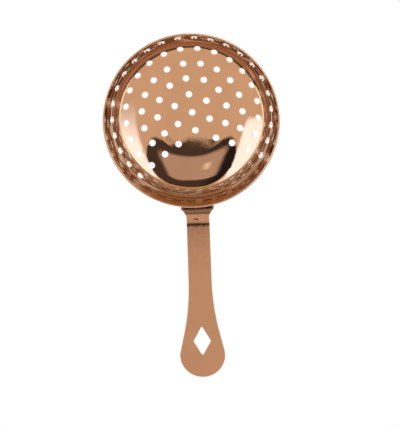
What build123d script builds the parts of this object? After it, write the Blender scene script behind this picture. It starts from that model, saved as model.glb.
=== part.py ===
from build123d import *

import os
from math import acos, asin, atan2, cos, degrees, hypot, radians, sin, tan

# A julep strainer: a pressed, perforated dish with a flat handle spot-welded under its rim.
# Millimetres and degrees. The dish is drawn about its own upright axis, Z, with the underside
# of its floor at Z = 0 and the handle along -Y. The pieces are then laid down as the strainer
# rests on a table, on the belly of the dish and the tip of the handle.

# Dish: one sheet, whose inner face is four arcs that meet smoothly.
RIM_RADIUS = 39.0  # outside of the rim
DISH_SHEET = 0.8
FLOOR_RADIUS = 18.4  # where the nearly flat floor ends
FLOOR_SLOPE = 5.2  # slope of the sheet at the floor's end
KNEE_CURVE = 26.0  # radius of the arc that follows the floor
KNEE_SLOPE = 33.0  # slope of the sheet at that arc's end
WALL_SLOPE = 83.5  # slope where the wall's arc meets the band
BAND_CURVE = 52.0  # radius of the nearly upright band under the rim
RIM_SLOPE = 89.0
RIM_ROUND = 0.3  # rounding of the two corners of the rim's edge

# Drain holes: one in the middle, and rings of 6, 12, 18 and so on, with a blank patch left
# in the outer rings on the handle's side.
HOLE_RADIUS = 1.5
RING_RADII = (8.4, 15.85, 22.75, 29.8, 35.6)
PATTERN_TURN = 8.0  # the pattern is turned this far from the handle's line
GAPPED_SPACING = 0.98  # the rings with a gap are spaced a little closer than even rings

# Handle: one strip. Its root lies on the wall and bends out to a short ledge just under the
# rim. The strip then steps down and runs out flat to a round end.
HANDLE_SHEET = 1.2
HANDLE_OFFSET = 1.3  # the handle is set this far to one side of the dish's middle
ROOT_LOW_SLOPE = 46.0  # slope of the wall where the root ends
LEDGE_DROP = 1.4  # from the rim down to the ledge's top
ROOT_BEND = 1.6  # radius of the upper face of the bend
LEDGE_END = 41.58  # how far from the dish's axis the round part of the ledge goes
STEP_START = 42.1  # corners of the step, from the dish's axis
STEP_END = 48.0
STEP_SLOPE = 30.0
STEP_BEND = 1.8
HANDLE_RISE = 5.0  # the flat part's climb, from the step's end
HANDLE_LENGTH = 71.0  # along the flat part, from the step's end to the tip
NECK_WIDTH = 10.3
WAIST_AT = 38.0  # where the sides turn outwards, from the step's end
SPREAD_ANGLE = 13.0  # of each side, towards the round end
SPREAD_ROUND = 109.0
END_RADIUS = 10.3
SHOULDER_AT = -8.5  # where the shoulders stand square to the strip, from the step's end
SHOULDER_ROUND = 5.2
SHOULDER_WIDTH = 14.6
ROOT_WIDTH = 18.5
ROOT_TOP = 15.4  # heights of the root's wide pad
ROOT_LOW = 7.8
ROOT_CORNER = 2.6
DIAMOND_AT = 54.0
DIAMOND_LENGTH = 13.7
DIAMOND_WIDTH = 7.8
DIAMOND_CORNER = 0.35
HANDLE_ROUND = 0.3  # rounding of the strip's edges

# Spot welds: nuggets that hold the root to the wall, in a row across it.
WELD_RADIUS = 1.5
WELD_SLOPE = 62.0
WELD_SPACING = 6.6  # degrees about the dish's axis
WELD_COUNT = 3
WELD_DENT_RADIUS = 1.9  # the electrode's shallow mark on the root's outer face
WELD_DENT_DEPTH = 0.15

BACK = 90.0  # turn about the axis of the side away from the handle
FRONT = -90.0
ROOT_SWEEP = 40.0  # the root is revolved this far about the axis before it is trimmed


def toward(slope):
    """The direction, in the section, from a curve's centre to its point of this slope."""
    return Vector(sin(radians(slope)), -cos(radians(slope)))


FLOOR_CURVE = FLOOR_RADIUS / sin(radians(FLOOR_SLOPE))
FLOOR_CENTRE = Vector(0, DISH_SHEET + FLOOR_CURVE)
KNEE_CENTRE = FLOOR_CENTRE + toward(FLOOR_SLOPE) * (FLOOR_CURVE - KNEE_CURVE)
BAND_CENTRE_X = RIM_RADIUS - toward(RIM_SLOPE).X * (BAND_CURVE + DISH_SHEET)
KNEE_END = KNEE_CENTRE + toward(KNEE_SLOPE) * KNEE_CURVE
BAND_START_X = BAND_CENTRE_X + toward(WALL_SLOPE).X * BAND_CURVE
WALL_CURVE = (BAND_START_X - KNEE_END.X) / (toward(WALL_SLOPE).X - toward(KNEE_SLOPE).X)
WALL_CENTRE = KNEE_END - toward(KNEE_SLOPE) * WALL_CURVE
BAND_CENTRE = WALL_CENTRE + toward(WALL_SLOPE) * (WALL_CURVE - BAND_CURVE)
CURVES = (
    (FLOOR_CENTRE, FLOOR_CURVE, FLOOR_SLOPE),
    (KNEE_CENTRE, KNEE_CURVE, KNEE_SLOPE),
    (WALL_CENTRE, WALL_CURVE, WALL_SLOPE),
    (BAND_CENTRE, BAND_CURVE, RIM_SLOPE),
)


def section_point(slope, depth=0.0):
    """The section's point where the sheet has this slope, this far under its inner face."""
    centre, curve = next((c, r) for c, r, end in CURVES if slope <= end)
    return centre + toward(slope) * (curve + depth)


def skin(depth, low=0.0, high=RIM_SLOPE):
    """The section's curve between two slopes, this far under the inner face, as arcs."""
    arcs = []
    start = low
    for centre, curve, end in CURVES:
        stop = min(end, high)
        if stop > start:
            slopes = (start, (start + stop) / 2, stop)
            arcs.append(ThreePointArc(*(centre + toward(s) * (curve + depth) for s in slopes)))
            start = stop
    return arcs


def slope_at(radius):
    """The slope of the inner face at this distance from the dish's axis."""
    for centre, curve, end in CURVES:
        slope = degrees(asin(min(1.0, (radius - centre.X) / curve)))
        if slope <= end:
            return slope


# The section of the handle, in distance from the axis and height.
RIM_TOP = section_point(RIM_SLOPE).Y
BEND_RISE = (BAND_CENTRE.Y - RIM_TOP + LEDGE_DROP + ROOT_BEND) / (BAND_CURVE + DISH_SHEET + ROOT_BEND)
ROOT_TOP_SLOPE = degrees(acos(BEND_RISE))  # where the root bends away from the band
BEND_CENTRE = section_point(ROOT_TOP_SLOPE, DISH_SHEET + ROOT_BEND)
LEDGE_TOP = BEND_CENTRE.Y + ROOT_BEND
STEP_DROP = (STEP_END - STEP_START) * tan(radians(STEP_SLOPE))
STEP_FOOT = Vector(STEP_END, LEDGE_TOP - HANDLE_SHEET / 2 - STEP_DROP)
FLAT_LINE = Vector(cos(radians(HANDLE_RISE)), sin(radians(HANDLE_RISE)))
FIRST_WELD = FRONT + degrees(asin(HANDLE_OFFSET / RIM_RADIUS)) - (WELD_COUNT - 1) / 2 * WELD_SPACING
WELD_TURNS = [FIRST_WELD + i * WELD_SPACING for i in range(WELD_COUNT)]


def on_wall(slope, turn, depth):
    """A place in the sheet at this slope and turn about the axis, with Z out of the dish."""
    point = section_point(slope, depth)
    out = toward(slope)
    return Rot(0, 0, turn) * Plane((point.X, 0, point.Y), z_dir=(out.X, 0, out.Y)).location


def round_about(section, turn, angle):
    """A section in X and Z, revolved about the dish's axis through an angle centred on a turn."""
    return Rot(0, 0, turn - angle / 2) * revolve(Plane.XZ * section, Axis.Z, angle)


def make_dish():
    """The pressed sheet with its drain holes."""
    rim_edge = Line(section_point(RIM_SLOPE), section_point(RIM_SLOPE, DISH_SHEET))
    middle = Line((0, 0), (0, DISH_SHEET))
    section = make_face(skin(0) + [rim_edge] + skin(DISH_SHEET) + [middle])
    section = fillet(section.vertices().sort_by(Axis.Y)[-2:], RIM_ROUND)
    drill = Cylinder(HOLE_RADIUS, 4 * DISH_SHEET)
    drills = [Pos(0, 0, DISH_SHEET / 2) * drill]
    for ring, radius in enumerate(RING_RADII, start=1):
        gap = max(0, 2 * ring - 3)
        present = 6 * ring - gap
        step = 60 / ring * (GAPPED_SPACING if gap else 1)
        for i in range(present):
            turn = BACK + PATTERN_TURN + (i - (present - 1) // 2) * step
            drills.append(on_wall(slope_at(radius), turn, DISH_SHEET / 2) * drill)
    return revolve(Plane.XZ * section, Axis.Z) - drills


def make_root():
    """The handle's root: a curved pad on the wall, a bend away from it and a ledge."""
    face = DISH_SHEET
    back = DISH_SHEET + HANDLE_SHEET
    slopes = (ROOT_TOP_SLOPE, ROOT_TOP_SLOPE / 2, 0)
    upper = ThreePointArc(*(BEND_CENTRE - toward(s) * ROOT_BEND for s in slopes))
    lower = ThreePointArc(*(BEND_CENTRE - toward(s) * (ROOT_BEND - HANDLE_SHEET) for s in slopes))
    ledge = Polyline(
        (BEND_CENTRE.X, LEDGE_TOP),
        (LEDGE_END, LEDGE_TOP),
        (LEDGE_END, LEDGE_TOP - HANDLE_SHEET),
        (BEND_CENTRE.X, LEDGE_TOP - HANDLE_SHEET),
    )
    low_edge = Line(section_point(ROOT_LOW_SLOPE, face), section_point(ROOT_LOW_SLOPE, back))
    walls = skin(face, ROOT_LOW_SLOPE, ROOT_TOP_SLOPE) + skin(back, ROOT_LOW_SLOPE, ROOT_TOP_SLOPE)
    root = round_about(make_face(walls + [upper, ledge, lower, low_edge]), FRONT, ROOT_SWEEP)
    pad_height = ROOT_TOP - ROOT_LOW
    pad_middle = Pos(HANDLE_OFFSET, ROOT_LOW + pad_height / 2)
    pad = pad_middle * RectangleRounded(ROOT_WIDTH, pad_height, ROOT_CORNER)
    neck_low = ROOT_TOP - ROOT_CORNER
    neck_height = LEDGE_TOP + HANDLE_SHEET - neck_low
    neck = Pos(HANDLE_OFFSET, neck_low + neck_height / 2) * Rectangle(SHOULDER_WIDTH, neck_height)
    return root & extrude(Plane.XZ * (pad + neck), 2 * RIM_RADIUS)


def make_strip():
    """The rest of the strip: ledge, step and flat, wider than the finished handle."""
    middle = LEDGE_TOP - HANDLE_SHEET / 2
    end = STEP_FOOT + FLAT_LINE * HANDLE_LENGTH
    corners = [(BEND_CENTRE.X, middle), (STEP_START, middle)]
    corners += [(p.X, p.Y) for p in (STEP_FOOT, end)]
    path = FilletPolyline(*((0, -r, z) for r, z in corners), radius=STEP_BEND)
    start = Plane(origin=(0, -BEND_CENTRE.X, middle), x_dir=(1, 0, 0), z_dir=(0, -1, 0))
    return sweep(start * Rectangle(3 * END_RADIUS, HANDLE_SHEET), path)


def handle_outline():
    """The strip's outline, with X across it and Y along the flat part from the step's end."""
    spread = radians(SPREAD_ANGLE)
    end_at = HANDLE_LENGTH - END_RADIUS
    touch = (END_RADIUS * cos(spread), end_at - END_RADIUS * sin(spread))
    back = SHOULDER_AT - ROOT_WIDTH
    right = FilletPolyline(
        (ROOT_WIDTH, back),
        (ROOT_WIDTH, SHOULDER_AT),
        (NECK_WIDTH / 2, SHOULDER_AT),
        (touch[0] - (touch[1] - WAIST_AT) * tan(spread), WAIST_AT),
        touch,
        radius=[SHOULDER_ROUND, SHOULDER_ROUND, SPREAD_ROUND],
    )
    left = mirror(right, Plane.YZ)
    end = ThreePointArc(touch, (0, HANDLE_LENGTH), (-touch[0], touch[1]))
    diamond = Polyline(
        (DIAMOND_WIDTH / 2, 0),
        (0, DIAMOND_LENGTH / 2),
        (-DIAMOND_WIDTH / 2, 0),
        (0, -DIAMOND_LENGTH / 2),
        close=True,
    )
    hole = make_face(diamond)
    hole = Pos(0, DIAMOND_AT) * fillet(hole.vertices(), DIAMOND_CORNER)
    return make_face([right, end, left, Line(right @ 0, left @ 0)]) - hole


def make_handle(nuggets):
    """The handle, with its hanging hole, rounded edges, weld pockets and the electrodes' dents."""
    flat = Plane(
        origin=(HANDLE_OFFSET, -STEP_FOOT.X, STEP_FOOT.Y),
        x_dir=(-1, 0, 0),
        z_dir=(0, FLAT_LINE.Y, FLAT_LINE.X),
    )
    blank = make_root() + make_strip()
    handle = blank & extrude(flat * handle_outline(), RIM_RADIUS, both=True)
    broad = handle.faces().filter_by(GeomType.PLANE).sort_by(SortBy.AREA)[-2:]
    bend_lines = handle.edges().filter_by(Axis.X)
    handle = fillet(broad.edges() - bend_lines, HANDLE_ROUND)
    ball = (WELD_DENT_RADIUS**2 + WELD_DENT_DEPTH**2) / (2 * WELD_DENT_DEPTH)
    dent = Pos(0, 0, ball) * Sphere(ball) & Cylinder(2 * WELD_DENT_RADIUS, HANDLE_SHEET)
    depth = DISH_SHEET + HANDLE_SHEET - WELD_DENT_DEPTH
    dents = [on_wall(WELD_SLOPE, turn, depth) * dent for turn in WELD_TURNS]
    return handle - dents - nuggets


def make_welds():
    """The nuggets, each from halfway through the dish's sheet to halfway through the root."""
    height = (DISH_SHEET + HANDLE_SHEET) / 2
    nugget = Cylinder(WELD_RADIUS, height)
    return [on_wall(WELD_SLOPE, turn, (DISH_SHEET + height) / 2) * nugget for turn in WELD_TURNS]


def resting_tilt():
    """How far the strainer leans when the belly of the dish and the handle's tip are level."""
    below = (HANDLE_SHEET / 2 - HANDLE_ROUND, HANDLE_LENGTH - HANDLE_ROUND)
    tip = STEP_FOOT + Vector(FLAT_LINE.Y, -FLAT_LINE.X) * below[0] + FLAT_LINE * below[1]
    run = tip - KNEE_CENTRE
    reach = KNEE_CURVE + DISH_SHEET - HANDLE_ROUND
    return degrees(asin(reach / hypot(run.X, run.Y)) + atan2(run.Y, run.X))


nuggets = make_welds()
pieces = {
    "strainer_bowl": make_dish() - nuggets,
    "handle": make_handle(nuggets),
    "spot_welds": Compound(nuggets),
}
leaning = {name: Rot(resting_tilt(), 0, 0) * piece for name, piece in pieces.items()}
boxes = [piece.bounding_box() for piece in leaning.values()]
middle = (min(box.min.Y for box in boxes) + max(box.max.Y for box in boxes)) / 2
lowest = min(box.min.Z for box in boxes)
os.makedirs("parts", exist_ok=True)
for name, piece in leaning.items():
    export_step(Pos(0, -middle, -lowest) * piece, f"parts/{name}.step")
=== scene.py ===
from math import cos, radians, sin

import bpy
from mathutils import Matrix, Vector

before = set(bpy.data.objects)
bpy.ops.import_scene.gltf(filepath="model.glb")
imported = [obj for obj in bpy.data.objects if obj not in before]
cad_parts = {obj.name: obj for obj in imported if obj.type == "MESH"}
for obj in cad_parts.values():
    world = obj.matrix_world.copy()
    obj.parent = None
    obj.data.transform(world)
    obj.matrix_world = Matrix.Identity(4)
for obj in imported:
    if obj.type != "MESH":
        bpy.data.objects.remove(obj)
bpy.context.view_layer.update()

# The camera, in the part's frame, metres and degrees.
CAMERA_RISE = 1.829  # how far it leans from straight above towards the dish's far side
CAMERA_SIDE = 1.327
CAMERA_ROLL = -1.789
CAMERA_AWAY = 0.7
CAMERA_TARGET = Vector((0.002214, -0.002157, 0.008))
CAMERA_LENS = 130.96
CAMERA_SENSOR = 36.0
CLIP_START = 0.01

# The dish in the part's frame: the middle of its underside, and its axis.
DISH_TILT = radians(12.7615)
DISH_BOTTOM = (0.0, 0.043638, 0.003495)
DISH_AXIS = (0.0, -sin(DISH_TILT), cos(DISH_TILT))

# Finishes: two colours of copper, the range of roughness, and how strong waves and scratches are.
BOWL_FINISH = {
    "light": (0.92, 0.63, 0.46),
    "dark": (0.87, 0.585, 0.425),
    "roughness": (0.02, 0.06),
    "wave": 0.01,
    "scratch": 0.02,
}
# The handle's colours are the bowl's copper painted darker, a painted shade; its roughness, waves
# and scratches are its finish.
HANDLE_FINISH_AND_SHADE = {
    "light": (0.78, 0.50, 0.37),
    "dark": (0.74, 0.47, 0.35),
    "roughness": (0.04, 0.09),
    "wave": 0.02,
    "scratch": 0.04,
}
WELD_FINISH = {
    "light": (0.66, 0.44, 0.32),
    "dark": (0.48, 0.32, 0.24),
    "roughness": (0.2, 0.4),
    "wave": 0.03,
    "scratch": 0.05,
}

# How fine each pattern is, in repeats per metre.
STAINS = 55.0
SMEARS = 140.0
WAVES = 70.0
WALL_EDGE = 260.0
RUB_MARKS = 320.0
# The ragged edge of the painted shade on the handle.
SHADE_EDGE = 500.0
SCRATCHES = 900.0
SCRATCH_STRETCH = 14.0
SCRATCH_TURN = 0.6
WAVE_HEIGHT = 0.001
SCRATCH_DEPTH = 0.0001

# The steep inside of the dish, darkened with painted shade, and a paler band below the rim,
# a painted sheen. The slopes are dot products of its normal and the spoke outwards.
WALL_SHADE = (0.60, 0.51, 0.44)
WALL_SLOPES = (-0.7, -0.79)
WALL_UNEVEN = 0.06
BAND_SHEEN = (0.90, 0.72, 0.50)
BAND_SLOPES = (-0.985, -0.995)
BAND_ROUGHNESS = 0.18

# Edges rubbed paler.
RUBBED = (0.95, 0.72, 0.56)
EDGE_WIDTH = 0.0004
EDGE_TURN = (0.99, 0.9)
EDGE_WEAR = 0.6
RUBBED_ROUGHNESS = 0.1

# Painted shade on the upper side of the handle, in the crevice under the rim and in the bends,
# with painted dark reflections: where it lies along the handle and across it, how soft its edge
# is, and its strength.
SHADE_COLOUR = (0.02, 0.012, 0.009)
SHADE_WANDER = 0.0016
UPWARD = (0.2, 0.5)
WIDE = (-0.02, 0.02)
ROOT_SHADE_PATCHES = (
    ((-0.0022, 0.0030), WIDE, 0.0004, 0.48),  # the ledge
    ((-0.0001, 0.0030), (-0.0049, 0.0076), 0.0005, 1.0),  # the crevice under the rim
    ((-0.00225, -0.00175), WIDE, 0.0003, 0.72),  # the ledge's corner
    ((-0.00795, -0.00645), WIDE, 0.0005, 0.94),  # the bend at the foot of the step
    ((-0.0050, -0.0044), (-0.0005, 0.0015), 0.0002, 1.0),  # a small dark mark on the step
)

# The studio's colours.
ROOM = (0.655, 0.50, 0.36)
FAR_WALL = (0.95, 0.82, 0.68)
LAMP = (1.3, 1.45, 1.6)
LAMP_END = (0.62, 0.50, 0.38)
DARK_LEFT = (0.066, 0.046, 0.037)
DARK_RIGHT = (0.018, 0.015, 0.015)
WINDOW = (0.49, 0.37, 0.285)
GLINT = (0.95, 0.80, 0.66)
WHITE = (1.0, 1.0, 1.0)

# The studio's panels, in degrees: middle and half size, each across and along, then the radius
# of the corners, the softness of the edge, and how far the panel leans.
FAR_WALL_PANEL = ((0.0, 84.0), (40.0, 16.0), 12.0, 3.0, 0.0)
RIGHT_LAMP = ((64.0, 17.0), (24.0, 59.0), 20.0, 4.0, 0.0)
LEFT_LAMP = ((-64.0, 27.0), (29.0, 51.0), 12.0, 3.0, -0.15)
LEFT_LAMP_CORNER = ((-50.0, 70.0), (23.0, 18.0), 12.0, 3.0, 0.0)
DARK_FRAME = ((2.0, 26.2), (38.0, 43.8), 40.0, 0.25, 0.08)
WINDOW_PANE = ((0.0, 18.5), (21.8, 24.5), 12.0, 3.0, 0.12)
WINDOW_GLINT = ((-10.5, 15.0), (2.0, 5.5), 2.0, 3.0, 0.0)
RIGHT_LAMP_FADE = (-40.0, 12.0)
LEFT_LAMP_FADE = (-60.0, -5.0)
DARK_FADE = (-28.0, 0.0)

TABLE_HALF = 1.6


class Nodes:
    """Fills the node tree of a material or a world."""

    def __init__(self, owner):
        owner.use_nodes = True
        self.tree = owner.node_tree
        self.tree.nodes.clear()

    def add(self, kind, inputs=(), **settings):
        """Adds a node. Each input is a socket to link or a plain value."""
        node = self.tree.nodes.new("ShaderNode" + kind)
        for name, value in settings.items():
            setattr(node, name, value)
        for key, value in dict(inputs).items():
            if isinstance(value, bpy.types.NodeSocket):
                self.tree.links.new(value, node.inputs[key])
            else:
                node.inputs[key].default_value = value
        return node

    def maths(self, operation, *values):
        return self.add("Math", dict(enumerate(values)), operation=operation).outputs[0]

    def vector(self, operation, inputs, output="Vector"):
        return self.add("VectorMath", inputs, operation=operation).outputs[output]

    def axes(self, vector):
        return self.add("SeparateXYZ", {"Vector": vector}).outputs

    def noise(self, place, scale, detail, roughness=0.5):
        settings = {"Vector": place, "Scale": scale, "Detail": detail, "Roughness": roughness}
        return self.add("TexNoise", settings).outputs["Fac"]

    def step(self, value, start, end, low=0.0, high=1.0, kind="LINEAR"):
        """Goes from low to high as the value goes from start to end, and stays there beyond."""
        ends = {"Value": value, "From Min": start, "From Max": end, "To Min": low, "To Max": high}
        return self.add("MapRange", ends, interpolation_type=kind).outputs["Result"]

    def mix(self, amount, under, over):
        """Lays one colour over another. Each colour is a socket or three numbers."""
        inputs = {0: amount}
        for key, colour in ((6, under), (7, over)):
            inputs[key] = colour if isinstance(colour, bpy.types.NodeSocket) else (*colour, 1.0)
        return self.add("Mix", inputs, data_type="RGBA").outputs[2]

    def ramp(self, value, *stops):
        """A colour ramp through (position, colour) pairs."""
        node = self.add("ValToRGB", {"Fac": value})
        elements = node.color_ramp.elements
        while len(elements) > 1:
            elements.remove(elements[-1])
        for i, (position, colour) in enumerate(stops):
            stop = elements.new(position) if i else elements[0]
            stop.position = position
            stop.color = (*colour, 1.0)
        return node.outputs["Color"]


def shaded_wall_and_sheen_band(nodes, place, normal, colour, gloss):
    """The steep inside of the dish: painted shade darkens the wall, and a band below the rim
    is rougher and paler, a painted sheen.
    """
    inward = nodes.vector("SUBTRACT", {0: place, 1: DISH_BOTTOM})
    height = nodes.vector("DOT_PRODUCT", {0: inward, 1: DISH_AXIS}, "Value")
    risen = nodes.vector("SCALE", {0: DISH_AXIS, "Scale": height})
    spoke = nodes.vector("NORMALIZE", {0: nodes.vector("SUBTRACT", {0: inward, 1: risen})})
    facing = nodes.vector("DOT_PRODUCT", {0: spoke, 1: normal}, "Value")
    uneven = nodes.maths("MULTIPLY_ADD", nodes.noise(place, WALL_EDGE, 4.0), WALL_UNEVEN, facing)
    # Painted shade: the steep wall is darkened.
    colour = nodes.mix(nodes.step(uneven, *WALL_SLOPES), colour, WALL_SHADE)
    # Painted sheen: a paler, rougher band just below the rim.
    band = nodes.step(facing, *BAND_SLOPES)
    colour = nodes.mix(band, colour, BAND_SHEEN)
    return colour, nodes.maths("MAXIMUM", gloss, nodes.maths("MULTIPLY", band, BAND_ROUGHNESS))


def paint_root_shade(nodes, place, normal, colour):
    """Painted shade in the handle's crevice and bends, on surfaces that face up."""
    position = nodes.axes(place)
    centred = nodes.maths("SUBTRACT", nodes.noise(place, SHADE_EDGE, 3.0, 0.6), 0.5)
    along = nodes.maths("ADD", position["Y"], nodes.maths("MULTIPLY", centred, SHADE_WANDER))
    upward = nodes.step(nodes.axes(normal)["Z"], *UPWARD)
    for lengthways, sideways, soft, strength in ROOT_SHADE_PATCHES:
        lies = nodes.maths("MULTIPLY", upward, strength)
        for value, (start, end) in ((along, lengthways), (position["X"], sideways)):
            away = nodes.maths("ABSOLUTE", nodes.maths("SUBTRACT", value, (start + end) / 2))
            half = (end - start) / 2
            lies = nodes.maths("MULTIPLY", nodes.step(away, half + soft, half - soft), lies)
        # Painted shade laid over the copper.
        colour = nodes.mix(lies, colour, SHADE_COLOUR)
    return colour


def rubbed_edges(nodes, place, colour, gloss):
    """Edges rubbed paler and a little less glossy, in patches."""
    rounded = nodes.add("Bevel", {"Radius": EDGE_WIDTH}, samples=4).outputs["Normal"]
    true_normal = nodes.add("NewGeometry").outputs["Normal"]
    turned = nodes.vector("DOT_PRODUCT", {0: rounded, 1: true_normal}, "Value")
    edge = nodes.step(turned, *EDGE_TURN, 0.0, EDGE_WEAR)
    patches = nodes.step(nodes.noise(place, RUB_MARKS, 5.0, 0.6), 0.35, 0.6)
    rubbed = nodes.maths("MULTIPLY", edge, patches)
    colour = nodes.mix(rubbed, colour, RUBBED)
    return colour, nodes.maths("ADD", gloss, nodes.maths("MULTIPLY", rubbed, RUBBED_ROUGHNESS))


def copper(name, finish, wall=False, painted_root_shade=False):
    """Polished copper: faint stains, uneven gloss, rubbed edges, very fine scratches and a
    slight waviness."""
    material = bpy.data.materials.new(name)
    nodes = Nodes(material)
    texture = nodes.add("TexCoord").outputs
    place, normal = texture["Object"], texture["Normal"]

    stains = nodes.noise(place, STAINS, 6.0, 0.6)
    colour = nodes.ramp(stains, (0.35, finish["dark"]), (0.62, finish["light"]))
    gloss = nodes.step(nodes.noise(place, SMEARS, 8.0, 0.65), 0.3, 0.75, *finish["roughness"])
    # Painted shade on the dish's steep wall and painted sheen below its rim.
    if wall:
        colour, gloss = shaded_wall_and_sheen_band(nodes, place, normal, colour, gloss)
    # Painted shade in the handle's crevice and bends.
    if painted_root_shade:
        colour = paint_root_shade(nodes, place, normal, colour)
    colour, gloss = rubbed_edges(nodes, place, colour, gloss)

    stretched = nodes.add("Mapping", {
        "Vector": place,
        "Rotation": (0.0, 0.0, SCRATCH_TURN),
        "Scale": (1.0, SCRATCH_STRETCH, 1.0),
    })
    broad = nodes.add("Bump", {
        "Strength": finish["wave"],
        "Distance": WAVE_HEIGHT,
        "Height": nodes.noise(place, WAVES, 2.0),
    })
    fine = nodes.add("Bump", {
        "Strength": finish["scratch"],
        "Distance": SCRATCH_DEPTH,
        "Height": nodes.noise(stretched.outputs["Vector"], SCRATCHES, 3.0),
        "Normal": broad.outputs["Normal"],
    })
    shader = nodes.add("BsdfPrincipled", {
        "Base Color": colour,
        "Metallic": 1.0,
        "Roughness": gloss,
        "Normal": fine.outputs["Normal"],
    })
    nodes.add("OutputMaterial", {"Surface": shader.outputs["BSDF"]})
    return material


MATERIALS = {
    "strainer_bowl": copper("polished_copper", BOWL_FINISH, wall=True),
    "handle": copper("handle_copper", HANDLE_FINISH_AND_SHADE, painted_root_shade=True),
    "spot_welds": copper("weld_metal", WELD_FINISH),
}
for node, material in MATERIALS.items():
    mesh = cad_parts[node].data
    mesh.materials.clear()
    mesh.materials.append(material)


# The studio, as seen from the strainer. A direction is a pair of angles in degrees: how far it
# lies from straight up, split into a part across and a part along the handle's line.
world = bpy.data.worlds.new("studio")
bpy.context.scene.world = world
studio = Nodes(world)
maths = studio.maths
direction = studio.axes(studio.add("TexCoord").outputs["Generated"])
x, y, z = direction["X"], direction["Y"], direction["Z"]
flat = maths("SQRT", maths("MULTIPLY_ADD", x, x, maths("MULTIPLY_ADD", y, y, 1e-8)))
fall = maths("DEGREES", maths("ARCTAN2", flat, z))
ratio = maths("DIVIDE", fall, flat)
across = maths("MULTIPLY", x, ratio)
along = maths("MULTIPLY", y, ratio)


def blend(value, start, end):
    """Rises smoothly from 0 to 1 as the value goes from start to end."""
    return studio.step(value, start, end, kind="SMOOTHSTEP")


def panel(middle, half, corner, soft, lean):
    """1 inside a rectangle of directions with round corners, 0 outside it."""
    leaning = maths("MULTIPLY_ADD", across, -lean, -middle[1])
    squares = []
    for value, offset, size in ((across, -middle[0], half[0]), (along, leaning, half[1])):
        distance = maths("ABSOLUTE", maths("ADD", value, offset))
        outside = maths("MAXIMUM", maths("ADD", distance, corner - size), 0.0)
        squares.append(maths("MULTIPLY", outside, outside))
    return blend(maths("SQRT", maths("ADD", *squares)), corner + soft, corner - soft)


right_lamp = studio.mix(blend(along, *RIGHT_LAMP_FADE), LAMP_END, LAMP)
left_lamp = studio.mix(blend(along, *LEFT_LAMP_FADE), LAMP_END, LAMP)
dark = studio.mix(blend(across, *DARK_FADE), DARK_RIGHT, DARK_LEFT)
surround = ROOM
for shape, colour in (
    (FAR_WALL_PANEL, FAR_WALL),
    (RIGHT_LAMP, right_lamp),
    (LEFT_LAMP, left_lamp),
    (LEFT_LAMP_CORNER, LAMP),
    (DARK_FRAME, dark),
    (WINDOW_PANE, WINDOW),
    (WINDOW_GLINT, GLINT),
):
    surround = studio.mix(panel(*shape), surround, colour)
seen = studio.mix(studio.add("LightPath").outputs["Is Camera Ray"], surround, WHITE)
background = studio.add("Background", {"Color": seen})
studio.add("OutputWorld", {"Surface": background.outputs["Background"]})

# A plain pale table.
corners = [(x * TABLE_HALF, y * TABLE_HALF, 0) for x, y in ((-1, -1), (1, -1), (1, 1), (-1, 1))]
table_mesh = bpy.data.meshes.new("table")
table_mesh.from_pydata(corners, [], [(0, 1, 2, 3)])
table = bpy.data.objects.new("table", table_mesh)
bpy.context.scene.collection.objects.link(table)
paper = bpy.data.materials.new("paper")
paper_nodes = Nodes(paper)
glow = paper_nodes.add("Emission", {"Color": (*WHITE, 1.0), "Strength": 1.0})
paper_nodes.add("OutputMaterial", {"Surface": glow.outputs["Emission"]})
table_mesh.materials.append(paper)

# Camera.
rise, side, roll = radians(CAMERA_RISE), radians(CAMERA_SIDE), radians(CAMERA_ROLL)
back = Vector((sin(side) * cos(rise), sin(rise), cos(rise) * cos(side)))
up = (Vector((0, 1, 0)) - back * back.y).normalized()
right = up.cross(back)
turned_right = right * cos(roll) + up * sin(roll)
turned_up = up * cos(roll) - right * sin(roll)
turn = Matrix((turned_right, turned_up, back)).transposed().to_4x4()
camera = bpy.data.objects.new("camera", bpy.data.cameras.new("camera"))
camera.data.sensor_width = CAMERA_SENSOR
camera.data.lens = CAMERA_LENS
camera.data.clip_start = CLIP_START
camera.matrix_world = Matrix.Translation(CAMERA_TARGET + back * CAMERA_AWAY) @ turn
bpy.context.scene.collection.objects.link(camera)
bpy.context.scene.camera = camera
bpy.context.scene.view_settings.view_transform = "Standard"
